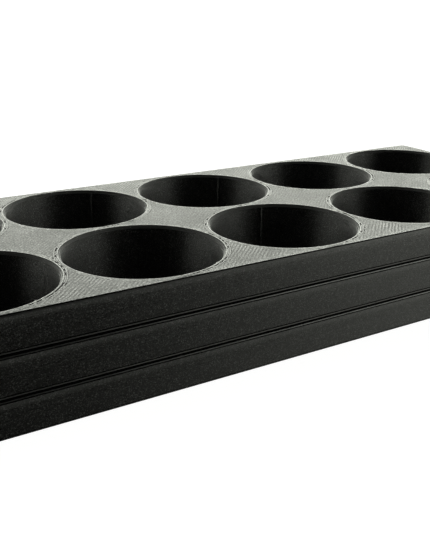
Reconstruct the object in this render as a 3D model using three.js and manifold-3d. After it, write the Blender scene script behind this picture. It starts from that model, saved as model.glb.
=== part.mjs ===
// A rack for small round paint jars: two rows of wells through a stack of three printed plates.
// The base plate holds the floors of the wells. The middle and the top plate lie on it, each held
// in line by a row of dowel pegs hidden between the wells, and lift off it straight up.
// Millimetres, +Z up. The origin is on the surface the rack stands on, under the rack's middle.

import * as THREE from "three";
import { mergeVertices } from "three/addons/utils/BufferGeometryUtils.js";
import Module from "manifold-3d";

const wasm = await Module();
wasm.setup();

// Wells: a jar of 32.4 mm goes down a well with 0.8 mm to spare all round.
const COLUMNS = 5;
const ROWS = 2;
const PITCH = 36.5; // between the centres of neighbouring wells, along and across
const WELL_RADIUS = 17;
const MOUTH_BEVEL_WIDTH = 0.5;
const MOUTH_BEVEL_HEIGHT = 0.7;
const RIM_LAND = 1.25; // flat top left between a well's mouth and the rack's outer face

// Plates, from the table up.
const BASE_HEIGHT = 7.6;
const MIDDLE_HEIGHT = 8.5;
const TOP_HEIGHT = 7.9;
const FLOOR_HEIGHT = 6; // underside of the rack to the floor of a well
const CORNER_RADIUS = 2;

// Outer edges: a bevel on each side of a parting line, and a slot behind the bevels that keeps
// the line dark. The plates touch each other everywhere inside the slot.
const JOINT_BEVEL_WIDTH = 0.3;
const LOWER_BEVEL_HEIGHT = 0.25; // on the plate under the line
const UPPER_BEVEL_HEIGHT = 0.6; // on the plate over the line
const SLOT_HEIGHT = 0.45;
const SLOT_INSET = 0.9; // from the outer face to the end of the slot
const FOOT_BEVEL = 0.25;
const BROW_BEVEL = 0.1; // around the rack's top

// Dowel pegs: tight in the plate below, free in the plate above.
const PEG_RADIUS = 3;
const PEG_LENGTH = 6;
const PEG_BEVEL = 0.5;
const GRIP = 0.1; // radial gap around the end that stays in the plate below
const SLIP = 0.25; // radial gap around the end that the plate above lifts off
const SOCKET_DEPTH = PEG_LENGTH / 2 + 0.25;

const WELL_SIDES = 40;
const PEG_SIDES = 20;
const CORNER_DIVISIONS = 3;
const OVERCUT = 1; // how far a cutter runs past the face it cuts through

// Worked out from the above.
const EDGE = WELL_RADIUS + MOUTH_BEVEL_WIDTH + RIM_LAND; // last row of centres to the outer face
const LENGTH = (COLUMNS - 1) * PITCH + 2 * EDGE;
const WIDTH = (ROWS - 1) * PITCH + 2 * EDGE;
const LOWER_JOINT = BASE_HEIGHT;
const UPPER_JOINT = BASE_HEIGHT + MIDDLE_HEIGHT;
const SUMMIT = UPPER_JOINT + TOP_HEIGHT;

const printedPlastic = (colour) =>
  new THREE.MeshStandardMaterial({ color: colour, roughness: 0.6, metalness: 0 });

// Centres of count places, PITCH apart and balanced about zero.
const spread = (count) =>
  Array.from({ length: count }, (_, i) => (i - (count - 1) / 2) * PITCH);

const WELL_CENTRES = spread(COLUMNS).flatMap((x) => spread(ROWS).map((y) => [x, y]));
const PEG_CENTRES = spread(COLUMNS - 1).map((x) => [x, 0]);

// The rack's outline seen from above, drawn in by inset.
function outline(inset) {
  const x = LENGTH / 2 - inset;
  const y = WIDTH / 2 - inset;
  const r = CORNER_RADIUS - inset;
  const shape = new THREE.Shape();
  shape.absarc(x - r, r - y, r, -Math.PI / 2, 0);
  shape.absarc(x - r, y - r, r, 0, Math.PI / 2);
  shape.absarc(r - x, y - r, r, Math.PI / 2, Math.PI);
  shape.absarc(r - x, r - y, r, Math.PI, 1.5 * Math.PI);
  return shape.getPoints(CORNER_DIVISIONS);
}

// A closed solid whose outline is drawn in by [inset] at each height [z], from the bottom up.
function loft(rings) {
  const loops = rings.map(([z, inset]) => outline(inset).map((p) => [p.x, p.y, z]));
  const n = loops[0].length;
  const last = (loops.length - 1) * n;
  const index = [];
  for (let k = 0; k + 1 < loops.length; k++) {
    for (let i = 0; i < n; i++) {
      const [a, b] = [k * n + i, k * n + ((i + 1) % n)];
      index.push(a, b, b + n, a, b + n, a + n);
    }
  }
  for (const [a, b, c] of THREE.ShapeUtils.triangulateShape(outline(0), [])) {
    index.push(a, c, b, last + a, last + b, last + c);
  }
  const geometry = new THREE.BufferGeometry();
  geometry.setAttribute("position", new THREE.Float32BufferAttribute(loops.flat(2), 3));
  return geometry.setIndex(index);
}

// The solid turned by a profile of [radius, height] points about +Z.
function turned(profile, sides) {
  const points = profile.map(([r, z]) => new THREE.Vector2(r, z));
  return new THREE.LatheGeometry(points, sides).rotateX(Math.PI / 2);
}

function toSolid(geometry) {
  const bare = geometry.clone();
  bare.deleteAttribute("normal");
  bare.deleteAttribute("uv");
  const merged = mergeVertices(bare, 1e-4);
  return new wasm.Manifold(
    new wasm.Mesh({
      numProp: 3,
      vertProperties: merged.attributes.position.array,
      triVerts: new Uint32Array(merged.index.array),
    }),
  );
}

function toGeometry(solid) {
  const mesh = solid.getMesh();
  const geometry = new THREE.BufferGeometry();
  geometry.setAttribute("position", new THREE.BufferAttribute(mesh.vertProperties, 3));
  geometry.setIndex(new THREE.BufferAttribute(mesh.triVerts, 1));
  geometry.computeVertexNormals();
  return geometry;
}

// Cuts a copy of the cutter out of the body at each of the centres.
function cutAt(body, cutter, centres) {
  const tool = toSolid(cutter);
  return centres.reduce((left, [x, y]) => left.subtract(tool.translate([x, y, 0])), body);
}

// Rings of a plate's edge just under a parting line, and just over one.
const edgeUnder = (z) => [
  [z - SLOT_HEIGHT / 2 - LOWER_BEVEL_HEIGHT, 0],
  [z - SLOT_HEIGHT / 2, JOINT_BEVEL_WIDTH],
  [z - SLOT_HEIGHT / 2, SLOT_INSET],
  [z, SLOT_INSET],
];
const edgeOver = (z) => [
  [z, SLOT_INSET],
  [z + SLOT_HEIGHT / 2, SLOT_INSET],
  [z + SLOT_HEIGHT / 2, JOINT_BEVEL_WIDTH],
  [z + SLOT_HEIGHT / 2 + UPPER_BEVEL_HEIGHT, 0],
];

const wellCutter = (low, high) =>
  turned([[0, low], [WELL_RADIUS, low], [WELL_RADIUS, high], [0, high]], WELL_SIDES);

// The bevel at a well's mouth, carried on at its own slope to as far again over the top.
const mouthCutter = () =>
  turned(
    [
      [0, UPPER_JOINT - OVERCUT],
      [WELL_RADIUS, UPPER_JOINT - OVERCUT],
      [WELL_RADIUS, SUMMIT - MOUTH_BEVEL_HEIGHT],
      [WELL_RADIUS + 2 * MOUTH_BEVEL_WIDTH, SUMMIT + MOUTH_BEVEL_HEIGHT],
      [0, SUMMIT + MOUTH_BEVEL_HEIGHT],
    ],
    WELL_SIDES,
  );

// A blind hole for one end of a peg, from the joint at z down (grip) or up (slip).
function socketCutter(z, upwards) {
  const radius = PEG_RADIUS + (upwards ? SLIP : GRIP);
  const low = upwards ? z - OVERCUT : z - SOCKET_DEPTH;
  const high = upwards ? z + SOCKET_DEPTH : z + OVERCUT;
  return turned([[0, low], [radius, low], [radius, high], [0, high]], PEG_SIDES);
}

function basePlate() {
  const slab = toSolid(loft([[0, FOOT_BEVEL], [FOOT_BEVEL, 0], ...edgeUnder(LOWER_JOINT)]));
  const welled = cutAt(slab, wellCutter(FLOOR_HEIGHT, LOWER_JOINT + OVERCUT), WELL_CENTRES);
  return cutAt(welled, socketCutter(LOWER_JOINT, false), PEG_CENTRES);
}

function middlePlate() {
  const slab = toSolid(loft([...edgeOver(LOWER_JOINT), ...edgeUnder(UPPER_JOINT)]));
  const welled = cutAt(
    slab,
    wellCutter(LOWER_JOINT - OVERCUT, UPPER_JOINT + OVERCUT),
    WELL_CENTRES,
  );
  const seated = cutAt(welled, socketCutter(LOWER_JOINT, true), PEG_CENTRES);
  return cutAt(seated, socketCutter(UPPER_JOINT, false), PEG_CENTRES);
}

function topPlate() {
  const brow = [[SUMMIT - BROW_BEVEL, 0], [SUMMIT, BROW_BEVEL]];
  const slab = toSolid(loft([...edgeOver(UPPER_JOINT), ...brow]));
  const welled = cutAt(slab, mouthCutter(), WELL_CENTRES);
  return cutAt(welled, socketCutter(UPPER_JOINT, true), PEG_CENTRES);
}

function peg() {
  const [r, half, b] = [PEG_RADIUS, PEG_LENGTH / 2, PEG_BEVEL];
  const lowerEnd = [[0, -half], [r - b, -half], [r, b - half]];
  const upperEnd = [[r, half - b], [r - b, half], [0, half]];
  return turned([...lowerEnd, ...upperEnd], PEG_SIDES);
}

function addMesh(group, name, geometry, colour, place = [0, 0, 0]) {
  const mesh = new THREE.Mesh(geometry, printedPlastic(colour));
  mesh.name = name;
  mesh.position.set(...place);
  group.add(mesh);
}

const rack = new THREE.Group();
addMesh(rack, "base_plate", toGeometry(basePlate()), 0x1a1b1c);
addMesh(rack, "middle_plate", toGeometry(middlePlate()), 0x1c1d1e);
addMesh(rack, "top_plate", toGeometry(topPlate()), 0x1e1f20);
PEG_CENTRES.forEach(([x, y], i) => {
  addMesh(rack, `lower_peg_${i + 1}`, peg(), 0x2a2b2c, [x, y, LOWER_JOINT]);
  addMesh(rack, `upper_peg_${i + 1}`, peg(), 0x2a2b2c, [x, y, UPPER_JOINT]);
});

export default rack;
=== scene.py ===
"""A layer-printed rack for small round paint jars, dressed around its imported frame.

Three plates with two rows of wells lie on each other, and hidden dowel pegs hold them in line. Each
plate is rebuilt cell by cell, one square cell round each well, as a closed skin with the marks that
a printer leaves: bead loops round the wells and along the rim, stepped bevels, seams and a rough
foot. Lengths are in millimetres until a piece's mesh is made.
"""

import math

import bmesh
import bpy
import numpy as np
from mathutils import Matrix, Vector


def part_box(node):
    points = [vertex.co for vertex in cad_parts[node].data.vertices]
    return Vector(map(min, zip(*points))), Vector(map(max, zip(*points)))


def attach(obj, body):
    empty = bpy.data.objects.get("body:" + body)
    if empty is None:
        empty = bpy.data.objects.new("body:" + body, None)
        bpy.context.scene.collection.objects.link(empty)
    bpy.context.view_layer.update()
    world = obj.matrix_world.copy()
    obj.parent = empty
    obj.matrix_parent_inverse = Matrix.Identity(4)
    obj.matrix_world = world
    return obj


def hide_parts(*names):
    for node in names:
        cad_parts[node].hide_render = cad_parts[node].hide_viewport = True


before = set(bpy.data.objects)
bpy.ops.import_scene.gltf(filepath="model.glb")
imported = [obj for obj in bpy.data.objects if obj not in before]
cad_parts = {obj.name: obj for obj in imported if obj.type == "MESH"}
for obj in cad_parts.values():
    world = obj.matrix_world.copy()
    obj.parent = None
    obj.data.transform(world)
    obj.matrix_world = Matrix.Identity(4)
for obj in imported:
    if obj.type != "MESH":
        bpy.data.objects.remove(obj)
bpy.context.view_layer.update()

MM = 0.001

# ---------------------------------------------------------------- places taken from the frame


def node_box(name):
    """Lowest and highest corner of a CAD node, in millimetres."""
    low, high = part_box(name)
    return np.array(low) / MM, np.array(high) / MM


_, BASE_HIGH = node_box("base_plate")
TOP_LOW, TOP_HIGH = node_box("top_plate")
LOWER_JOINT = float(BASE_HIGH[2])
UPPER_JOINT = float(TOP_LOW[2])
SUMMIT = float(TOP_HIGH[2])
HALF_LENGTH = float(BASE_HIGH[0])
HALF_WIDTH = float(BASE_HIGH[1])

PEG_NAMES = sorted(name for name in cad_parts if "_peg_" in name)
PEG_BOXES = {name: node_box(name) for name in PEG_NAMES}
PEG_CENTRES = {name: (low + high) / 2 for name, (low, high) in PEG_BOXES.items()}
PITCH = float(PEG_CENTRES["lower_peg_2"][0] - PEG_CENTRES["lower_peg_1"][0])
COLUMNS = 1 + sum(name.startswith("lower") for name in PEG_NAMES)
ROWS = 2
HALF_PITCH = PITCH / 2
EDGE = HALF_LENGTH - HALF_PITCH * (COLUMNS - 1)  # outermost row of centres to the outer face

# ---------------------------------------------------------------- sizes, as in the CAD source

WELL_RADIUS = 17.0
MOUTH_WIDTH = 0.5
MOUTH_HEIGHT = 0.7
FLOOR_HEIGHT = 6.0
CORNER_RADIUS = 2.0
SLOT_INSET = 0.9
GRIP_RADIUS = 3.1
SLIP_RADIUS = 3.25
SOCKET_DEPTH = 3.25
PEG_BEVEL = 0.5

# ---------------------------------------------------------------- marks of the printer

LAYER = 0.2
BEAD = 0.36  # width of a perimeter bead on a flat face
INFILL = 0.74  # width of a diagonal bead
BEAD_GROOVE = 0.05  # half the width of the groove between two beads, and its depth

# The outer faces. A nick is a layer drawn in next to a lip.
NICK_HEIGHT = 0.24
NICK_DEPTH = 0.4
NICK_LIP = 0.02  # by how much its end is narrower than its mouth, above and below
LIP_INSET = 0.12  # a plate's pressed edge leans in by this much at a parting line
LIP_BACK_HEIGHT = 0.05  # the slope from that edge back into the slot
LIP_BACK_WIDTH = 0.06
SLOT_UNDER = 0.13  # the slot's floor, below the parting line
SLOT_OVER = 0.4  # the slot's ceiling, above it
LOWER_LIP = 0.2  # height of the lip under the slot
UPPER_LIP = 0.34  # height of the lip over it
BROW_EASE = 0.03  # the rack's upper edge, nearly square
BROW_NICK = 0.36  # from the rack's top down to the foot of the nick there
BROW_LIP = 0.3  # height of the lip under that nick
BROW_LEAN = 0.06  # how far that lip leans in
RIM_BEAD_START = 0.06  # from the outer face to the bead along the rim
FOOT_EASE = 0.08
FOOT_LIP = 0.2  # the first layers, pressed out against the bed
FOOT_NICK = 0.14  # the shadow line over them
FOOT_WANDER = 0.04  # how far their lower edge rises and falls
HEEL_INSET = 0.02  # how far that edge lies in from the outer face

# Waves in the foot's lower edge: radians to a millimetre along x and y, and the phase.
WANDER_WAVES = ((3.1, 0.7, 0.0), (7.3, -5.9, 1.0), (1.3, 9.1, 0.0))

# The wells. Widths round a well are in degrees, to half the height of the mark.
SEAM_HEIGHT = 0.17  # how far a well's seam stands into the well
SEAM_HALF_WIDTH = 0.5
NIB_REACH = 0.3  # how far a strand's cut end stands in from the rim
NIB_HALF_WIDTH = 0.9
MOUTH_STEPS = 4  # layers in a well's bevel
UNDERCUT = 0.02  # how far a layer's edge overhangs its own foot
FLOOR_FILLET = 0.1  # plastic in the corner between a well's wall and its floor
FLOOR_GROOVES = (0.38, 0.76)  # in from the wall, to the grooves between the loops on the floor
FLOOR_GROOVE = 0.04  # half the width of such a groove, and its depth
FLOOR_FIELD = (0.66, 0.33)  # rings in the field inside them, as shares of the well's radius

# Pits: gaps between the loops round a mouth and the field, where the field's beads run along the
# ring.
PIT_START = 0.46  # out from a mouth's edge
PIT_WIDTH = 0.22
PIT_SLOPE = 0.03  # width of a pit's own walls
PIT_DEPTH = 0.3
PIT_CHANCE = 0.4  # that one starts at a step of the ring, where they are commonest
PIT_LONGER = 0.4  # chance that it goes on to the next step
PIT_ALONG = 0.55  # how nearly the beads run along the ring where the first pits are, up to 1
PIT_ALONG_SPAN = 0.45
PIT_OTHER_SIDE = 0.3  # share of them behind and to the left of a well, against in front and right
PIT_CLUSTERS = 5  # round each ring
PIT_CLUSTER_MEAN = 0.5
PIT_CLUSTER_SWING = 1.5
PIT_CLUSTER_LEAST = 0.1
PIT_SEED = 11

HALF_STEPS = 40  # points from the middle of a cell's side to its corner
CORNER_STEPS = 6  # of those, the last ones, which turn the corner
RING = 8 * HALF_STEPS
RING_ANGLES = 2 * math.pi * np.arange(RING) / RING

# The direction in which a well's seam lies, in degrees from +X, by column and row. Where none is
# given, it follows from the place.
SEAMS = {(0, 0): 14, (1, 0): 250, (2, 0): 73, (1, 1): 54, (2, 1): 44}
SEAM_FIRST = 40
SEAM_BY_COLUMN = 97
SEAM_BY_ROW = 211
NIBS = {(0, 0): 296, (1, 0): 302}  # where a strand's cut end lies, on a well's near rim

WELD = 0.002  # points nearer than this are one
SLIVER = 0.001  # edges shorter than this are dissolved
SHARP_TURN = math.radians(28)


class Skin:
    """The points and faces of one piece. Points that meet are welded when the mesh is made."""

    def __init__(self, kinds):
        self.kinds = kinds
        self.points, self.faces, self.surfaces = [], [], []
        self.count = 0

    def add_points(self, points):
        self.points.append(points)
        self.count += len(points)
        return np.arange(self.count - len(points), self.count)

    def add_faces(self, corners, kind):
        self.faces.extend(corners.tolist())
        self.surfaces.extend([self.kinds.index(kind)] * len(corners))

    def strip(self, first, second, kind, keep=None):
        """Quads between two closed rings of as many points; keep picks the steps that get one."""
        a, b = self.add_points(first), self.add_points(second)
        quads = np.stack([a, np.roll(a, -1), np.roll(b, -1), b], axis=1)
        self.add_faces(quads if keep is None else quads[keep], kind)

    def fan(self, ring, centre, kind, keep=None):
        """Triangles from a closed ring to one point."""
        a, c = self.add_points(ring), self.add_points(np.array([centre], float))
        triangles = np.stack([a, np.roll(a, -1), np.full(len(a), c[0])], axis=1)
        self.add_faces(triangles if keep is None else triangles[keep], kind)

    def mesh(self, name, materials):
        """The welded mesh in metres, its faces outwards and its edges sharp where they turn hard."""
        data = bpy.data.meshes.new(name)
        data.from_pydata((np.concatenate(self.points) * MM).tolist(), [], self.faces)
        data.polygons.foreach_set("material_index", self.surfaces)
        for kind in self.kinds:
            data.materials.append(materials[kind])
        work = bmesh.new()
        work.from_mesh(data)
        bmesh.ops.remove_doubles(work, verts=work.verts, dist=WELD * MM)
        bmesh.ops.dissolve_degenerate(work, edges=work.edges, dist=SLIVER * MM)
        bmesh.ops.recalc_face_normals(work, faces=work.faces)
        work.to_mesh(data)
        work.free()
        data.polygons.foreach_set("use_smooth", [True] * len(data.polygons))
        data.set_sharp_from_angle(angle=SHARP_TURN)
        return data


# ---------------------------------------------------------------- one cell of a plate


def quadrant(reach, outer, inset, socket):
    """Points from the middle of a cell's x side round its corner to the middle of its y side.

    reach is how far each side is from the well's centre, and outer says which side is an outer
    face, which is drawn in by inset. socket is the radius of a peg's hole at an inner corner.
    """
    rounded = outer[0] and outer[1]
    inner = not (outer[0] or outer[1])
    trim = socket if inner and socket else CORNER_RADIUS
    turn = HALF_STEPS - CORNER_STEPS
    rise = np.tan(math.pi / 4 * np.arange(turn + 1) / HALF_STEPS)
    rise /= rise[-1]
    near_x, near_y = reach[0] - inset * outer[0], reach[1] - inset * outer[1]
    up = np.stack([np.full(turn + 1, near_x), (reach[1] - trim) * rise], axis=1)
    back = np.stack([(reach[0] - trim) * rise[::-1], np.full(turn + 1, near_y)], axis=1)
    phase = math.pi / 2 * np.arange(1, 2 * CORNER_STEPS) / (2 * CORNER_STEPS)
    if rounded:
        radius = CORNER_RADIUS - inset
        turning = np.stack([np.cos(phase), np.sin(phase)], axis=1) * radius
        corner = turning + np.array(reach) - CORNER_RADIUS
    elif inner and socket:
        corner = np.array(reach) - socket * np.stack([np.sin(phase), np.cos(phase)], axis=1)
    else:
        share = np.arange(1, CORNER_STEPS + 1) / CORNER_STEPS
        rising = reach[1] - trim + share * (near_y - reach[1] + trim)
        falling = reach[0] - trim + share[:-1][::-1] * (near_x - reach[0] + trim)
        first = np.stack([np.full(CORNER_STEPS, near_x), rising], axis=1)
        second = np.stack([falling, np.full(CORNER_STEPS - 1, near_y)], axis=1)
        corner = np.concatenate([first, second])
    return np.concatenate([up, corner, back])


class Cell:
    """One well with the square of plate round it."""

    def __init__(self, column, row):
        self.place = (column, row)
        self.centre = np.array(
            [(column - (COLUMNS - 1) / 2) * PITCH, (row - (ROWS - 1) / 2) * PITCH]
        )
        self.outer = {
            (0, 1): column == COLUMNS - 1,
            (0, -1): column == 0,
            (1, 1): row == ROWS - 1,
            (1, -1): row == 0,
        }
        by_place = SEAM_FIRST + SEAM_BY_COLUMN * column + SEAM_BY_ROW * row
        self.seam = SEAMS.get(self.place, by_place % 360)

    def corners(self):
        """The signs of each quarter, going round, with which of its two sides are outer faces."""
        for sx, sy in ((1, 1), (-1, 1), (-1, -1), (1, -1)):
            yield sx, sy, (self.outer[0, sx], self.outer[1, sy])

    def border(self, z, inset=0.0, socket=0.0):
        """The cell's outline at height z."""
        quarters = []
        for sx, sy, outer in self.corners():
            reach = tuple(EDGE if side else HALF_PITCH for side in outer)
            quarter = quadrant(reach, outer, inset, socket) * (sx, sy)
            quarters.append((quarter if sx * sy > 0 else quarter[::-1])[:-1])
        flat = np.concatenate(quarters) + self.centre
        return lifted(flat, z)

    def outer_steps(self):
        """Which steps of the outline lie on the rack's outer face."""
        steps = []
        for sx, sy, outer in self.corners():
            sides = [outer[0]] * HALF_STEPS + [outer[1]] * HALF_STEPS
            steps += sides if sx * sy > 0 else sides[::-1]
        return np.array(steps)

    def socket_steps(self):
        """For each inner corner: which steps of the outline turn it, and the peg's place."""
        turning = np.abs(np.arange(2 * HALF_STEPS) + 0.5 - HALF_STEPS) < CORNER_STEPS
        for number, (sx, sy, outer) in enumerate(self.corners()):
            if not any(outer):
                steps = np.zeros(RING, bool)
                start = number * 2 * HALF_STEPS
                steps[start : start + 2 * HALF_STEPS] = turning
                yield steps, self.centre + np.array([sx, sy]) * HALF_PITCH

    def circle(self, radius, z, shift=0.0):
        """A ring round the well, with shift added to its radius point by point."""
        flat = np.stack([np.cos(RING_ANGLES), np.sin(RING_ANGLES)], axis=1)
        return lifted(flat * (radius + np.zeros(RING) + shift)[:, None] + self.centre, z)

    def seam_shift(self):
        """The ridge where each layer of the well's wall starts and ends."""
        return -SEAM_HEIGHT * hump(self.seam, SEAM_HALF_WIDTH)

    def nib_shift(self):
        """A cut end that stands in from the rim."""
        if self.place not in NIBS:
            return np.zeros(RING)
        return -NIB_REACH * hump(NIBS[self.place], NIB_HALF_WIDTH)

    def pits(self):
        """Which steps of the ring round the mouth a pit takes."""
        draw = np.random.default_rng(PIT_SEED + ROWS * self.place[0] + self.place[1])
        along = -np.sin(RING_ANGLES - math.pi / 4)
        chance = np.clip((np.abs(along) - PIT_ALONG) / PIT_ALONG_SPAN, 0, 1)
        chance = chance * np.where(along > 0, 1.0, PIT_OTHER_SIDE)
        wave = np.sin(PIT_CLUSTERS * RING_ANGLES + sum(self.place))
        chance *= np.clip(PIT_CLUSTER_MEAN + PIT_CLUSTER_SWING * wave, PIT_CLUSTER_LEAST, 1)
        start = draw.random(RING) < PIT_CHANCE * chance
        longer = draw.random(RING) < PIT_LONGER
        return start | (np.roll(start, 1) & np.roll(longer, 1))


def hump(degrees, half_width):
    """A bump of height 1 on the ring at that angle, half_width degrees to half its height."""
    away = (np.degrees(RING_ANGLES) - degrees + 180) % 360 - 180
    return np.exp(-math.log(2) * (away / half_width) ** 2)


def lifted(flat, z):
    """Flat points with a height, which may be one number or one a point."""
    return np.column_stack([flat, np.zeros(len(flat)) + z])


def wander(points):
    """A smooth, uneven value from 0 to 1 that depends on the place only."""
    x, y = points[:, 0], points[:, 1]
    waves = sum(np.sin(along * x + across * y + phase) for along, across, phase in WANDER_WAVES)
    return 0.5 + waves / (2 * len(WANDER_WAVES))


CELLS = [Cell(column, row) for column in range(COLUMNS) for row in range(ROWS)]

# ---------------------------------------------------------------- the plates, layer by layer


def edge_run(skin, cell, profile):
    """The outer face through (height, inset, kind) points.

    A kind names the surface from its own point to the next.
    """
    keep = cell.outer_steps()
    rings = [cell.border(z, inset) for z, inset, _ in profile]
    kinds = [kind for _, _, kind in profile]
    for low, high, kind in zip(rings, rings[1:], kinds):
        skin.strip(low, high, kind, keep)


def nick(low, tall=NICK_HEIGHT):
    """A narrow, deep groove in the outer face, from low up, without the point that ends it."""
    high = low + tall
    # its faces take the nearly black slot plastic: painted shade in the groove
    return [
        (low, 0.0, "slot"),
        (low + NICK_LIP, NICK_DEPTH, "slot"),
        (high - NICK_LIP, NICK_DEPTH, "slot"),
    ]


def edge_under(joint):
    """The profile just under a parting line: a nick, the pressed lip and the slot."""
    top = joint - SLOT_UNDER
    foot = top - LOWER_LIP
    return [
        *nick(foot - NICK_HEIGHT),
        (foot, 0.0, "lip"),
        (top, LIP_INSET, "slot"),
        (top - LIP_BACK_HEIGHT, LIP_INSET + LIP_BACK_WIDTH, "slot"),
        (top - LIP_BACK_HEIGHT, SLOT_INSET, "slot"),
        (joint, SLOT_INSET, "slot"),
    ]


def edge_over(joint):
    """The profile just over a parting line: the slot, the pressed lip and a nick."""
    low = joint + SLOT_OVER
    head = low + UPPER_LIP
    return [
        (joint, SLOT_INSET, "slot"),
        (low + LIP_BACK_HEIGHT, SLOT_INSET, "slot"),
        (low + LIP_BACK_HEIGHT, LIP_INSET + LIP_BACK_WIDTH, "slot"),
        (low, LIP_INSET, "lip"),
        *nick(head),
        (head + NICK_HEIGHT, 0.0, "side"),
    ]


def mating_face(skin, cell, z, socket, depth):
    """A face that lies on another plate, with the holes for the pegs; depth is the hole's end."""
    rim = cell.circle(WELL_RADIUS, z, cell.seam_shift())
    groove = cell.circle(WELL_RADIUS + BEAD, z)
    border = cell.border(z, SLOT_INSET, socket)
    skin.strip(rim, groove, "mate")
    skin.strip(groove, border, "mate")
    far = border.copy()
    far[:, 2] = depth
    for steps, place in cell.socket_steps():
        skin.strip(border, far, "hole", steps)
        skin.fan(far, (*place, depth), "hole", steps)


def wall(skin, cell, low, high, pieces=2):
    """The inside of a well from low to high."""
    heights = np.linspace(low, high, pieces + 1)
    rings = [cell.circle(WELL_RADIUS, z, cell.seam_shift()) for z in heights]
    for a, b in zip(rings, rings[1:]):
        skin.strip(a, b, "well")


def mouth(skin, cell):
    """The bevel at the top of a well: a tread and a riser for each layer, and a strand's end on it."""
    foot = SUMMIT - MOUTH_HEIGHT
    rise, run = MOUTH_HEIGHT / MOUTH_STEPS, MOUTH_WIDTH / MOUTH_STEPS
    ring = cell.circle(WELL_RADIUS, foot, cell.seam_shift())
    for number in range(1, MOUTH_STEPS + 1):
        share = number / MOUTH_STEPS
        shift = cell.seam_shift() * (1 - share) + cell.nib_shift() * share
        radius = WELL_RADIUS + run * number
        inner = cell.circle(radius + UNDERCUT, foot + rise * (number - 1), shift)
        edge = cell.circle(radius, foot + rise * number, shift)
        skin.strip(ring, inner, "tread")
        skin.strip(inner, edge, "mouth")
        ring = edge
    return ring


def groove_at(distance):
    """(distance, depth) points across the groove between two beads."""
    return [(distance - BEAD_GROOVE, 0.0), (distance, BEAD_GROOVE), (distance + BEAD_GROOVE, 0.0)]


def summit_face(skin, cell):
    """The rack's top: a bead round the mouth and one along the rim, and pits beside the field."""
    radius = WELL_RADIUS + MOUTH_WIDTH
    lip = mouth(skin, cell)
    rings = [lip] + [cell.circle(radius + r, SUMMIT - d) for r, d in groove_at(BEAD)]
    sunk = cell.pits()
    depth = PIT_DEPTH * (sunk | np.roll(sunk, 1))
    pit_end = radius + PIT_START + PIT_WIDTH
    near = cell.circle(radius + PIT_START, SUMMIT)
    near_foot = cell.circle(radius + PIT_START + PIT_SLOPE, SUMMIT - depth)
    far_foot = cell.circle(pit_end - PIT_SLOPE, SUMMIT - depth)
    far = cell.circle(pit_end, SUMMIT)
    for a, b in zip(rings, [*rings[1:], near]):
        skin.strip(a, b, "top")
    # the pits' faces take the nearly black slot plastic: painted shade in their depth
    in_pit = depth + np.roll(depth, -1) > 0
    for a, b in ((near, near_foot), (near_foot, far_foot), (far_foot, far)):
        skin.strip(a, b, "top", ~in_pit)
        skin.strip(a, b, "slot", in_pit)
    rim = [(0.0, BROW_EASE), (BROW_EASE, 0.0), *groove_at(RIM_BEAD_START + BEAD)]
    edge_run(skin, cell, [(SUMMIT - drop, inset, "top") for inset, drop in rim])
    skin.strip(far, cell.border(SUMMIT, rim[-1][0]), "top")


def well_floor(skin, cell):
    """The closed end of a well: a fillet of plastic, loops and the field inside them."""
    profile = [(WELL_RADIUS - FLOOR_FILLET, 0.0)]
    for groove in FLOOR_GROOVES:
        middle = WELL_RADIUS - groove
        profile += [(middle + FLOOR_GROOVE, 0.0), (middle, -FLOOR_GROOVE), (middle - FLOOR_GROOVE, 0.0)]
    profile += [(WELL_RADIUS * share, 0.0) for share in FLOOR_FIELD]
    rings = [cell.circle(WELL_RADIUS, FLOOR_HEIGHT + FLOOR_FILLET, cell.seam_shift())]
    rings += [cell.circle(r, FLOOR_HEIGHT + dz) for r, dz in profile]
    for a, b in zip(rings, rings[1:]):
        skin.strip(a, b, "floor")
    skin.fan(rings[-1], (*cell.centre, FLOOR_HEIGHT), "floor")


def underside(skin, cell):
    """The face the rack stands on and the uneven foot round it, up to the ring it returns."""
    foot = cell.border(0.0, FOOT_EASE)
    ring = cell.circle(WELL_RADIUS, 0.0)
    skin.strip(foot, ring, "under")
    skin.fan(ring, (*cell.centre, 0.0), "under")
    heel = cell.border(FOOT_EASE, HEEL_INSET)
    heel[:, 2] += FOOT_WANDER * wander(heel)
    low = FOOT_EASE + FOOT_LIP
    brow = cell.border(low, 0.0)
    keep = cell.outer_steps()
    # the strip under the foot's uneven edge takes the nearly black slot plastic: painted shade under
    # the pressed layers
    skin.strip(foot, heel, "slot", keep)
    skin.strip(heel, brow, "side", keep)
    edge_run(skin, cell, [*nick(low, FOOT_NICK), (low + FOOT_NICK, 0.0, "side")])
    return cell.border(low + FOOT_NICK, 0.0)


def side_wall(skin, cell, first, last):
    """The plain outer face between two rings."""
    keep = cell.outer_steps()
    middle = (first + last) / 2
    skin.strip(first, middle, "side", keep)
    skin.strip(middle, last, "side", keep)


PLATE_KINDS = [
    "side", "lip", "slot", "top", "mouth", "tread",
    "well", "floor", "mate", "hole", "under",
]


def base_skin():
    skin = Skin(PLATE_KINDS)
    for cell in CELLS:
        foot = underside(skin, cell)
        run = edge_under(LOWER_JOINT)
        side_wall(skin, cell, foot, cell.border(*run[0][:2]))
        edge_run(skin, cell, run)
        well_floor(skin, cell)
        wall(skin, cell, FLOOR_HEIGHT + FLOOR_FILLET, LOWER_JOINT, 1)
        mating_face(skin, cell, LOWER_JOINT, GRIP_RADIUS, LOWER_JOINT - SOCKET_DEPTH)
    return skin


def middle_skin():
    skin = Skin(PLATE_KINDS)
    for cell in CELLS:
        mating_face(skin, cell, LOWER_JOINT, SLIP_RADIUS, LOWER_JOINT + SOCKET_DEPTH)
        over, under = edge_over(LOWER_JOINT), edge_under(UPPER_JOINT)
        edge_run(skin, cell, over)
        side_wall(skin, cell, cell.border(*over[-1][:2]), cell.border(*under[0][:2]))
        edge_run(skin, cell, under)
        wall(skin, cell, LOWER_JOINT, UPPER_JOINT)
        mating_face(skin, cell, UPPER_JOINT, GRIP_RADIUS, UPPER_JOINT - SOCKET_DEPTH)
    return skin


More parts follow.
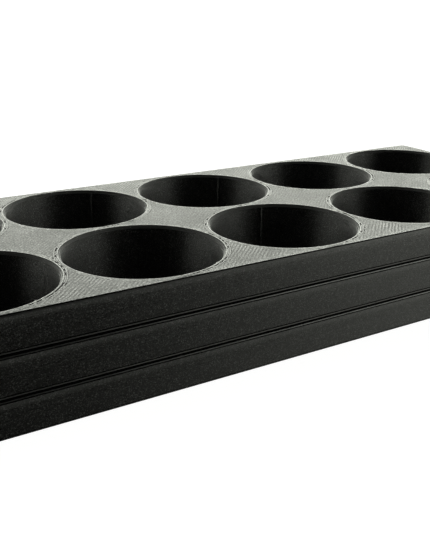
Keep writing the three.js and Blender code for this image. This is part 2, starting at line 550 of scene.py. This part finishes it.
def top_skin():
    skin = Skin(PLATE_KINDS)
    for cell in CELLS:
        mating_face(skin, cell, UPPER_JOINT, SLIP_RADIUS, UPPER_JOINT + SOCKET_DEPTH)
        over = edge_over(UPPER_JOINT)
        edge_run(skin, cell, over)
        low = SUMMIT - BROW_NICK
        side_wall(skin, cell, cell.border(*over[-1][:2]), cell.border(low - BROW_LIP, 0.0))
        brow = [(low - BROW_LIP, 0.0, "lip"), (low, BROW_LEAN, "slot"), *nick(low)[1:]]
        brow += [(low + NICK_HEIGHT, 0.0, "side")]
        edge_run(skin, cell, [*brow, (SUMMIT - BROW_EASE, 0.0, "side")])
        wall(skin, cell, UPPER_JOINT, SUMMIT - MOUTH_HEIGHT)
        summit_face(skin, cell)
    return skin


# ---------------------------------------------------------------- the pegs

PEG_SIDES = 72
PEG_SEAM = 0.05
PEG_LOOP_START = 0.1  # in from an end's edge to the first groove between its loops
PEG_LOOPS = 2
PEG_RIPPLE = ((0.06, 0.018), (0.5, 0.0), (0.94, 0.018))  # share of a layer's height, inset there


def peg_skin(name):
    """A dowel printed on end: a ripple for each layer, a seam, and bead loops on its two ends."""
    low, high = PEG_BOXES[name]
    centre = PEG_CENTRES[name]
    radius = float(high[0] - low[0]) / 2
    half = float(high[2] - low[2]) / 2
    angles = 2 * math.pi * np.arange(PEG_SIDES) / PEG_SIDES
    flat = np.stack([np.cos(angles), np.sin(angles)], axis=1)
    dent = np.zeros(PEG_SIDES)
    dent[0] = PEG_SEAM

    edge = radius - PEG_BEVEL
    end = [(edge - PEG_LOOPS * BEAD, 0.0)]
    for number in reversed(range(PEG_LOOPS)):
        end += groove_at(edge - BEAD * number - PEG_LOOP_START)
    end += [(edge, 0.0)]
    sides = []
    for layer in range(round(2 * half / LAYER)):
        for share, inset in PEG_RIPPLE:
            z = -half + LAYER * (layer + share)
            taper = max(0.0, PEG_BEVEL - (half - abs(z)))
            sides.append((radius - taper - inset, z))
    profile = [(r, -half + depth) for r, depth in end] + sides
    profile += [(r, half - depth) for r, depth in end[::-1]]

    skin = Skin(["peg_side", "peg_end"])
    rings = [
        lifted(flat * (r - dent * (r > edge))[:, None] + centre[:2], centre[2] + z)
        for r, z in profile
    ]
    for number, (a, b) in enumerate(zip(rings, rings[1:])):
        on_end = number < len(end) or number >= len(rings) - len(end) - 1
        skin.strip(a, b, "peg_end" if on_end else "peg_side")
    for ring, z in ((rings[0], -half), (rings[-1], half)):
        skin.fan(ring, (centre[0], centre[1], centre[2] + z), "peg_end")
    return skin


# ---------------------------------------------------------------- materials


class Graph:
    """A material's nodes. Sockets and plain numbers may be mixed as inputs."""

    def __init__(self, name):
        self.material = bpy.data.materials.new(name)
        self.material.use_nodes = True
        self.tree = self.material.node_tree
        self.shader = self.tree.nodes["Principled BSDF"]

    def node(self, kind, inputs=None, **settings):
        made = self.tree.nodes.new(kind)
        for key, value in settings.items():
            setattr(made, key, value)
        for key, value in (inputs or {}).items():
            self.feed(made.inputs[key], value)
        return made

    def feed(self, socket, value):
        if isinstance(value, bpy.types.NodeSocket):
            self.tree.links.new(value, socket)
        else:
            socket.default_value = value

    def math(self, operation, *values, clamp=False):
        inputs = dict(enumerate(values))
        return self.node("ShaderNodeMath", inputs, operation=operation, use_clamp=clamp).outputs[0]

    def millimetres(self):
        """x, y and z of the surface in millimetres, and the three as one vector."""
        place = self.node("ShaderNodeTexCoord").outputs["Object"]
        scaled = self.node("ShaderNodeVectorMath", {0: place, "Scale": 1 / MM}, operation="SCALE")
        vector = scaled.outputs[0]
        parts = self.node("ShaderNodeSeparateXYZ", {0: vector})
        return parts.outputs[0], parts.outputs[1], parts.outputs[2], vector

    def noise(self, vector, scale, detail=2.0, stretch=(1, 1, 1)):
        if stretch != (1, 1, 1):
            vector = self.node(
                "ShaderNodeVectorMath", {0: vector, 1: stretch}, operation="MULTIPLY"
            ).outputs[0]
        inputs = {"Vector": vector, "Scale": scale, "Detail": detail}
        return self.node("ShaderNodeTexNoise", inputs, noise_dimensions="3D").outputs["Fac"]

    def spread(self, value, low, high, start=0.0, end=1.0, smooth=False):
        """value, taken from start..end to low..high."""
        inputs = {"Value": value, "From Min": start, "From Max": end, "To Min": low, "To Max": high}
        kind = "SMOOTHSTEP" if smooth else "LINEAR"
        return self.node("ShaderNodeMapRange", inputs, interpolation_type=kind, clamp=True).outputs[0]

    def beads(self, distance, width):
        """Rounded beads side by side: 1 on a bead's crest, 0 in the groove."""
        wave = self.math("SINE", self.math("MULTIPLY", distance, math.pi / width))
        return self.math("POWER", self.math("ABSOLUTE", wave), CREST_POWER)

    def bump(self, height, depth, normal=None):
        """A relief of depth millimetres."""
        inputs = {"Height": height, "Distance": depth * MM, "Strength": 1.0}
        if normal is not None:
            inputs["Normal"] = normal
        return self.node("ShaderNodeBump", inputs).outputs[0]

    def grey(self, value):
        """A colour of that value in all three channels."""
        return self.node("ShaderNodeCombineColor", {0: value, 1: value, 2: value}).outputs[0]

    def blend(self, share, first, second):
        """first where share is 0, and second where it is 1."""
        inputs = {0: share, 2: first, 3: second}
        return self.node("ShaderNodeMix", inputs, data_type="FLOAT").outputs[0]

    def draw_out(self, amount):
        """Spreads reflections up and down, as fine level lines do."""
        upwards = self.node("ShaderNodeCombineXYZ", {2: 1.0}).outputs[0]
        self.shader.inputs["Anisotropic"].default_value = amount
        self.feed(self.shader.inputs["Tangent"], upwards)

    def finish(self, colour, roughness, normal, specular):
        self.feed(self.shader.inputs["Base Color"], colour)
        self.feed(self.shader.inputs["Roughness"], roughness)
        self.feed(self.shader.inputs["Normal"], normal)
        self.shader.inputs["Specular IOR Level"].default_value = specular
        self.shader.inputs["IOR"].default_value = PLASTIC_IOR
        return self.material


def well_distance(graph, x, y):
    """Distance from the centre of the nearest well."""
    across = graph.math("MODULO", graph.math("ADD", x, COLUMNS * HALF_PITCH), PITCH)
    along = graph.math("MODULO", graph.math("ADD", y, ROWS * HALF_PITCH), PITCH)
    dx = graph.math("SUBTRACT", across, HALF_PITCH)
    dy = graph.math("SUBTRACT", along, HALF_PITCH)
    squares = [graph.math("MULTIPLY", side, side) for side in (dx, dy)]
    return graph.math("SQRT", graph.math("ADD", *squares))


def rim_distance(graph, x, y):
    """Distance in from the rack's outer face."""
    from_end = graph.math("SUBTRACT", HALF_LENGTH, graph.math("ABSOLUTE", x))
    from_side = graph.math("SUBTRACT", HALF_WIDTH, graph.math("ABSOLUTE", y))
    return graph.math("MINIMUM", from_end, from_side)


def plate_depth(graph, z):
    """Distance down from the top of the plate that height z lies in."""
    in_middle = graph.math("LESS_THAN", z, UPPER_JOINT)
    in_base = graph.math("LESS_THAN", z, LOWER_JOINT)
    under_upper = graph.math("MULTIPLY", in_middle, SUMMIT - UPPER_JOINT)
    under_lower = graph.math("MULTIPLY", in_base, UPPER_JOINT - LOWER_JOINT)
    top = graph.math("SUBTRACT", graph.math("SUBTRACT", SUMMIT, under_upper), under_lower)
    return graph.math("SUBTRACT", top, z)


def around_half(graph, value, amount):
    """How far a noise is over or under its middle, times amount."""
    return graph.math("MULTIPLY", graph.math("SUBTRACT", value, 0.5), amount)


# Noises are (cells to a millimetre, detail), and for some the stretch along x, y and z. A SPAN is
# the range of a noise, or of a distance in millimetres, over which another value changes.
PLASTIC_IOR = 1.5
CREST_POWER = 0.6  # under 1, which makes a bead's crest broad and its groove narrow

# Flat faces.
LOOPS = 3 * BEAD  # width of the loops round a well and along the rim
BEND = 0.5  # how far the field's beads wander sideways
BEND_NOISE = (0.35, 2.0)
BEAD_MEAN = 0.7  # a bead's height, averaged over its width
FIELD_MIDDLE = 0.25  # how much the field's beads stand out along the rack's middle; 1 farther out
FIELD_SPAN = (4.0, 22.0)  # from the middle line outwards
BLOTCH_NOISE = (0.16, 1.0)
BLOTCH_SPAN = (0.4, 0.6)
BLOTCH = (0.3, 0.8)  # how much the beads stand out in the weakest and the strongest blotches
GAP_MIDDLE = 0.04  # from the loops out to the middle of the gap beside the field
GAP_WIDTH = 0.16  # half the width of the widest gaps
GAP_NOISE = (1.3, 1.0)
GAP_SPAN = (0.52, 0.66)
GAP_BREAK = 0.35  # a gap shows where a bead twice as wide as the field's would be higher than this
GAP_SINK = 4.0  # in beads' heights
GAP_ROUGHNESS = 0.4
PATCH_NOISE = (0.12, 3.0)
PATCH_SHARE = 0.6
STREAK_NOISE = (1.6, 2.0)
STREAK_SHARE = 0.4
FLAT_GRAIN_NOISE = (3.2, 3.0)
FLAT_SPAN = (0.3, 0.7)
FLAT_TONES = (0.7, 1.4)  # the darkest and the palest plastic, as shares of the material's tone
FLAT_ROUGHNESS = (-0.05, 0.06)  # the smoothest and the roughest, against the material's roughness
FLAT_GRAIN_ROUGHNESS = 0.9
CAVITY_POWER = 0.7
CAVITY_ROUGHNESS = 0.45  # rougher in the grooves between beads, where little light gets back out
POLISHED = 0.9 * BEAD  # width of the smoother bead at a mouth and at the rim
POLISH = 0.07
FLAT_GRAIN_RELIEF = 0.6  # against the relief of the beads
STREAK_RELIEF = 1.5

# Upright faces.
DRIFT_NOISE = (1.6, 3.0, (0.35, 0.35, 3.0))
DRIFT_SHARE = 0.65
LAYER_SHARE = 0.35  # of the unevenness that goes from layer to layer
GRAIN_NOISE = (3.4, 2.0, (0.45, 0.45, 1.5))
GRAIN_ROUGHNESS = 0.35
DUST_NOISE = (5.0, 2.0, (0.9, 0.9, 1.1))
DUST_SPAN = (0.53, 0.75)
SPECK_NOISE = (3.3, 0.0)
SPECK_SPAN = (0.80, 0.86)
SPECK_TONE = 8  # times the material's tone
UPRIGHT_SPAN = (0.2, 0.8)
UPRIGHT_TONES = (0.6, 1.5)
UPRIGHT_ROUGHNESS = 0.07  # either way
LAYER_RELIEF = 0.6  # against the relief of the beads
GRAIN_RELIEF = 2.0

# A plate's outer side, by the depth below the plate's top.
CROWN_MIDDLE = 4.0  # down to where the side stands upright
FACE_PAINTED_SHEEN = 0.014  # painted sheen: the side is painted paler high up, fading out downwards
FACE_SPAN = (1.0, 7.5)
EDGE_PAINTED_SHEEN = 0.04  # painted sheen: the side is painted paler along its upper edge
EDGE_SPAN = (0.9, 2.2)


def flat_print(name, value, roughness, specular, relief, direction=1, holes=True):
    """A flat printed face: loops round wells and rim, and diagonal beads between them.

    direction is 1 or -1, for the way the diagonal beads run. holes says whether there are gaps
    where they turn.
    """
    graph = Graph(name)
    x, y, _, place = graph.millimetres()
    radius = graph.math("SUBTRACT", well_distance(graph, x, y), WELL_RADIUS + MOUTH_WIDTH)
    rim = rim_distance(graph, x, y)
    by_well = graph.math("LESS_THAN", radius, LOOPS)
    by_rim = graph.math("LESS_THAN", rim, LOOPS)
    across = graph.math("SUBTRACT", x, graph.math("MULTIPLY", y, direction))
    slant = graph.math("MULTIPLY", across, math.sqrt(0.5))
    bent = graph.math("ADD", slant, graph.math("MULTIPLY", graph.noise(place, *BEND_NOISE), BEND))
    fill = graph.beads(bent, INFILL)
    from_middle = graph.spread(graph.math("ABSOLUTE", y), FIELD_MIDDLE, 1.0, *FIELD_SPAN)
    blotch = graph.spread(graph.noise(place, *BLOTCH_NOISE), *BLOTCH, *BLOTCH_SPAN)
    strength = graph.math("MULTIPLY", from_middle, blotch)
    swing = graph.math("MULTIPLY", graph.math("SUBTRACT", fill, BEAD_MEAN), strength)
    fill = graph.math("ADD", swing, BEAD_MEAN)
    near = graph.blend(by_rim, fill, graph.beads(rim, BEAD))
    crests = graph.blend(by_well, near, graph.beads(radius, BEAD))

    from_gap = graph.math("ABSOLUTE", graph.math("SUBTRACT", radius, LOOPS + GAP_MIDDLE))
    width = graph.spread(graph.noise(place, *GAP_NOISE), 0.0, GAP_WIDTH, *GAP_SPAN)
    hole = graph.math("LESS_THAN", from_gap, width)
    broken = graph.math("GREATER_THAN", graph.beads(bent, 2 * INFILL), GAP_BREAK)
    hole = graph.math("MULTIPLY", hole, broken)
    hole = graph.math("MULTIPLY", hole, float(holes))
    sunk = graph.math("SUBTRACT", crests, graph.math("MULTIPLY", hole, GAP_SINK))

    patch = graph.math("MULTIPLY", graph.noise(place, *PATCH_NOISE), PATCH_SHARE)
    streak = graph.noise(place, *STREAK_NOISE)
    grain = graph.noise(place, *FLAT_GRAIN_NOISE)
    uneven = graph.math("ADD", patch, graph.math("MULTIPLY", streak, STREAK_SHARE))
    darkest, palest = (value * share for share in FLAT_TONES)
    tone = graph.spread(uneven, darkest, palest, *FLAT_SPAN)
    # painted shade: the gaps are painted black, for the shade in their depth
    tone = graph.math("MULTIPLY", tone, graph.math("SUBTRACT", 1.0, hole))
    smoothest, roughest = (roughness + change for change in FLAT_ROUGHNESS)
    rough = graph.spread(uneven, smoothest, roughest, *FLAT_SPAN)
    cavity = graph.math("POWER", graph.math("SUBTRACT", 1.0, crests), CAVITY_POWER)
    rough = graph.math("ADD", rough, graph.math("MULTIPLY", cavity, CAVITY_ROUGHNESS))
    rough = graph.math("ADD", rough, around_half(graph, grain, FLAT_GRAIN_ROUGHNESS))
    at_edge = graph.math("LESS_THAN", graph.math("MINIMUM", radius, rim), POLISHED)
    rough = graph.math("SUBTRACT", rough, graph.math("MULTIPLY", at_edge, POLISH))
    rough = graph.math("ADD", rough, graph.math("MULTIPLY", hole, GAP_ROUGHNESS), clamp=True)
    normal = graph.bump(sunk, relief)
    normal = graph.bump(grain, relief * FLAT_GRAIN_RELIEF, normal)
    normal = graph.bump(streak, relief * STREAK_RELIEF, normal)
    return graph.finish(graph.grey(tone), rough, normal, specular)


def upright_print(name, value, roughness, specular, relief, drawn=0.8, speckle=0.0, crown=0.0):
    """An upright printed face: a bead for each layer, each a little different, and fine grain.

    drawn is how far reflections are drawn out up and down, speckle the tone of its palest dust,
    and crown how many millimetres a plate's side seems to bulge by in its shading; a crown also
    paints a sheen, paler high on each plate's side and along its upper edge.
    """
    graph = Graph(name)
    _, _, z, place = graph.millimetres()
    layer = graph.math("FLOOR", graph.math("DIVIDE", z, LAYER))
    kind = "ShaderNodeTexWhiteNoise"
    own = graph.node(kind, {"W": layer}, noise_dimensions="1D").outputs["Value"]
    lines = graph.beads(z, LAYER)
    drift = graph.math("MULTIPLY", graph.noise(place, *DRIFT_NOISE), DRIFT_SHARE)
    grain = graph.noise(place, *GRAIN_NOISE)
    uneven = graph.math("ADD", graph.math("MULTIPLY", own, LAYER_SHARE), drift)
    darkest, palest = (value * share for share in UPRIGHT_TONES)
    tone = graph.spread(uneven, darkest, palest, *UPRIGHT_SPAN)
    dust = graph.spread(graph.noise(place, *DUST_NOISE), 0.0, speckle, *DUST_SPAN)
    tone = graph.math("ADD", tone, dust)
    speck = graph.spread(graph.noise(place, *SPECK_NOISE), 0.0, value * SPECK_TONE, *SPECK_SPAN)
    tone = graph.math("ADD", tone, speck)
    smoothest, roughest = roughness - UPRIGHT_ROUGHNESS, roughness + UPRIGHT_ROUGHNESS
    rough = graph.spread(uneven, smoothest, roughest, *UPRIGHT_SPAN)
    rough = graph.math("ADD", rough, around_half(graph, grain, GRAIN_ROUGHNESS))
    normal = graph.bump(lines, relief)
    normal = graph.bump(own, relief * LAYER_RELIEF, normal)
    normal = graph.bump(grain, relief * GRAIN_RELIEF, normal)
    if crown:
        depth = plate_depth(graph, z)
        # painted sheen: each plate's side is painted paler near its top and along its upper edge
        edge = graph.spread(depth, EDGE_PAINTED_SHEEN, 0.0, *EDGE_SPAN, smooth=True)
        tone = graph.math("ADD", tone, edge)
        tone = graph.math("ADD", tone, graph.spread(depth, FACE_PAINTED_SHEEN, 0.0, *FACE_SPAN))
        below = graph.math("SUBTRACT", depth, CROWN_MIDDLE)
        lean = graph.math("DIVIDE", below, CROWN_MIDDLE)
        sag = graph.math("MULTIPLY", graph.math("MULTIPLY", lean, lean), -1.0)
        normal = graph.bump(sag, crown, normal)
    if drawn:
        graph.draw_out(drawn)
    return graph.finish(graph.grey(tone), rough, normal, specular)


def make_materials():
    """Every surface's material, as (name, tone, roughness, specular level, relief in millimetres)."""
    return {
        "top": flat_print("printed_top", 0.014, 0.36, 0.5, 0.04),
        # painted highlight: the bevel's tone is five times the top's, though it is the same plastic,
        # for the light along its layer edges
        "mouth": upright_print("printed_bevel_painted_highlight", 0.07, 0.36, 1.0, 0.012, drawn=0.0),
        "tread": flat_print("printed_tread", 0.01, 0.42, 0.5, 0.012, holes=False),
        # painted shade: the side's tone is far darker than the same plastic on the top; its crown adds
        # a painted sheen
        "side": upright_print(
            "printed_side_painted_shade_and_sheen", 0.0002, 0.34, 0.41, 0.014, drawn=0.95, speckle=0.12, crown=0.2
        ),
        "lip": upright_print("pressed_lip", 0.014, 0.4, 0.8, 0.012, drawn=0.88),
        # painted shade: nearly black, barely reflective plastic on nicks, slots, pits and the foot's
        # lower edge, for the shade in their depth
        "slot": upright_print("printed_slot_painted_shade", 0.0008, 0.9, 0.05, 0.012, drawn=0.0),
        # painted shade: the well's tone is far darker than the same plastic on the top, for the shade
        # inside the wells
        "well": upright_print("printed_well_painted_shade", 0.0002, 0.37, 0.47, 0.02, drawn=0.9, speckle=0.16),
        "floor": flat_print("printed_floor", 0.012, 0.5, 0.4, 0.012, -1, holes=False),
        "mate": flat_print("printed_mating_face", 0.014, 0.42, 0.45, 0.012, -1),
        "hole": upright_print("printed_socket", 0.008, 0.55, 0.3, 0.012),
        "under": flat_print("printed_underside", 0.012, 0.3, 0.5, 0.008, -1, holes=False),
        "peg_side": upright_print("printed_peg_side", 0.02, 0.45, 0.4, 0.006),
        "peg_end": flat_print("printed_peg_end", 0.02, 0.42, 0.45, 0.01, holes=False),
    }


# ---------------------------------------------------------------- pieces

MATERIALS = make_materials()


def place_piece(name, skin, body, node):
    """A finished piece that stands for a CAD node."""
    piece = bpy.data.objects.new(name, skin.mesh(name, MATERIALS))
    bpy.context.scene.collection.objects.link(piece)
    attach(piece, body)
    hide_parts(node)


place_piece("base_plate_print", base_skin(), "base", "base_plate")
place_piece("middle_plate_print", middle_skin(), "middle", "middle_plate")
place_piece("top_plate_print", top_skin(), "top", "top_plate")
for peg in PEG_NAMES:
    held_by = "base" if peg.startswith("lower") else "middle"
    place_piece(peg + "_print", peg_skin(peg), held_by, peg)

# ---------------------------------------------------------------- camera, floor and light

EYE = Vector((-106.12, -159.36, 77.32))
YAW = math.radians(31.801)  # to the right of +Y
DIP = math.radians(20.15)  # below the horizon
ROLL = math.radians(0.524)
LENS = 52.86
SENSOR = 36
NEAREST = 0.01  # metres from the eye, where the picture starts
FARTHEST = 50  # and where it ends


def make_camera():
    level_share, drop = math.cos(DIP), math.sin(DIP)
    forward = Vector((math.sin(YAW) * level_share, math.cos(YAW) * level_share, -drop))
    level = Vector((math.cos(YAW), -math.sin(YAW), 0.0))
    above = level.cross(forward)
    right = level * math.cos(ROLL) + above * math.sin(ROLL)
    up = above * math.cos(ROLL) - level * math.sin(ROLL)
    data = bpy.data.cameras.new("camera")
    data.lens = LENS
    data.sensor_width = SENSOR
    data.clip_start = NEAREST
    data.clip_end = FARTHEST
    camera = bpy.data.objects.new("camera", data)
    turn = Matrix((right, up, -forward)).transposed().to_4x4()
    camera.matrix_world = Matrix.Translation(EYE * MM) @ turn
    bpy.context.scene.collection.objects.link(camera)
    bpy.context.scene.camera = camera


FLOOR_REACH = 6.0  # metres from the rack to the floor's sides
FLOOR_DROP = 0.0001  # metres under the rack
FLOOR_TONES = (0.24, 0.26)
FLOOR_NOISE = 0.05
FLOOR_ROUGHNESS = 0.9
FLOOR_GLOW = 0.93


def make_floor():
    """A sheet of white paper, lit evenly by itself. It throws no light on the rack."""
    data = bpy.data.meshes.new("floor")
    signs = ((-1, -1), (1, -1), (1, 1), (-1, 1))
    corners = [(x * FLOOR_REACH, y * FLOOR_REACH, -FLOOR_DROP) for x, y in signs]
    data.from_pydata(corners, [], [(0, 1, 2, 3)])
    graph = Graph("floor_paper")
    *_, place = graph.millimetres()
    tone = graph.spread(graph.noise(place, FLOOR_NOISE), *FLOOR_TONES)
    graph.feed(graph.shader.inputs["Base Color"], graph.grey(tone))
    graph.shader.inputs["Roughness"].default_value = FLOOR_ROUGHNESS
    graph.shader.inputs["Specular IOR Level"].default_value = 0.0
    graph.shader.inputs["Emission Color"].default_value = (1, 1, 1, 1)
    graph.shader.inputs["Emission Strength"].default_value = FLOOR_GLOW
    data.materials.append(graph.material)
    floor = bpy.data.objects.new("floor", data)
    bpy.context.scene.collection.objects.link(floor)
    floor.visible_diffuse = False
    floor.visible_glossy = False


BACK_UNDER = 1.0  # behind the rack, below the horizon
BACK_LOW = 5.4  # behind the rack, just above the horizon
BACK_HIGH = 2.5  # behind the rack, higher up
SIDE_LOW = 0.75  # to its left and right, below the horizon
SIDE_HIGH = 3.4  # to its left and right, above it
DARK_LIGHT = 0.0  # on the viewer's side
ZENITH_LIGHT = 0.03
SKY_SEEN = 1.2  # what shows behind the rack in the picture
SKY_TINT = (0.97, 1.0, 0.9, 1.0)

# Where one light gives way to the next. Heights are sines of the angle over the horizon. A turn is
# 1 straight behind the rack, 0 at its two sides and -1 straight in front.
SIDE_HEIGHTS = (-0.1, 0.5)
BACK_HEIGHTS = (0.2, 0.6)
UNDER_HEIGHTS = (-0.2, 0.1)
CEILING_HEIGHTS = (0.55, 0.9)
BACK_TURNS = (0.55, 0.9)
DARK_TURNS = (-0.56, -0.1)
OFF_ZERO = 0.0001  # keeps the square root over 0 straight up and down


def make_world():
    """A studio with soft walls: bright behind the rack and at both sides, dark on the viewer's."""
    world = bpy.data.worlds.new("studio")
    bpy.context.scene.world = world
    world.use_nodes = True
    tree = world.node_tree
    nodes, links = tree.nodes, tree.links
    nodes.clear()

    def plug(socket, value):
        if isinstance(value, bpy.types.NodeSocket):
            links.new(value, socket)
        else:
            socket.default_value = value

    def calculate(operation, *values):
        made = nodes.new("ShaderNodeMath")
        made.operation = operation
        for socket, value in zip(made.inputs, values):
            plug(socket, value)
        return made.outputs[0]

    def smooth(value, start, end, low, high):
        made = nodes.new("ShaderNodeMapRange")
        made.interpolation_type = "SMOOTHSTEP"
        inputs = {"Value": value, "From Min": start, "From Max": end, "To Min": low, "To Max": high}
        for key, number in inputs.items():
            plug(made.inputs[key], number)
        return made.outputs[0]

    def blended(share, first, second):
        made = nodes.new("ShaderNodeMix")
        for index, value in ((0, share), (2, first), (3, second)):
            plug(made.inputs[index], value)
        return made.outputs[0]

    direction = nodes.new("ShaderNodeTexCoord").outputs["Generated"]
    away = nodes.new("ShaderNodeVectorMath")
    away.operation = "DOT_PRODUCT"
    plug(away.inputs[0], direction)
    away.inputs[1].default_value = (math.sin(YAW), math.cos(YAW), 0.0)
    split = nodes.new("ShaderNodeSeparateXYZ")
    plug(split.inputs[0], direction)
    height = split.outputs[2]
    squared = calculate("MULTIPLY", height, height)
    level = calculate("SQRT", calculate("SUBTRACT", 1 + OFF_ZERO, squared))
    turn = calculate("DIVIDE", away.outputs["Value"], level)
    sides = smooth(height, *SIDE_HEIGHTS, SIDE_LOW, SIDE_HIGH)
    back = smooth(height, *BACK_HEIGHTS, BACK_LOW, BACK_HIGH)
    back = smooth(height, *UNDER_HEIGHTS, BACK_UNDER, back)
    walls = smooth(turn, *BACK_TURNS, sides, back)
    kept = smooth(turn, *DARK_TURNS, DARK_LIGHT, 1.0)
    round_about = calculate("MULTIPLY", walls, kept)
    overhead = smooth(height, *CEILING_HEIGHTS, 0.0, 1.0)
    glow = blended(overhead, round_about, ZENITH_LIGHT)
    seen = nodes.new("ShaderNodeLightPath").outputs["Is Camera Ray"]
    background = nodes.new("ShaderNodeBackground")
    background.inputs["Color"].default_value = SKY_TINT
    plug(background.inputs["Strength"], blended(seen, glow, SKY_SEEN))
    links.new(background.outputs[0], nodes.new("ShaderNodeOutputWorld").inputs[0])


make_camera()
make_floor()
make_world()
bpy.context.scene.view_settings.view_transform = "Standard"
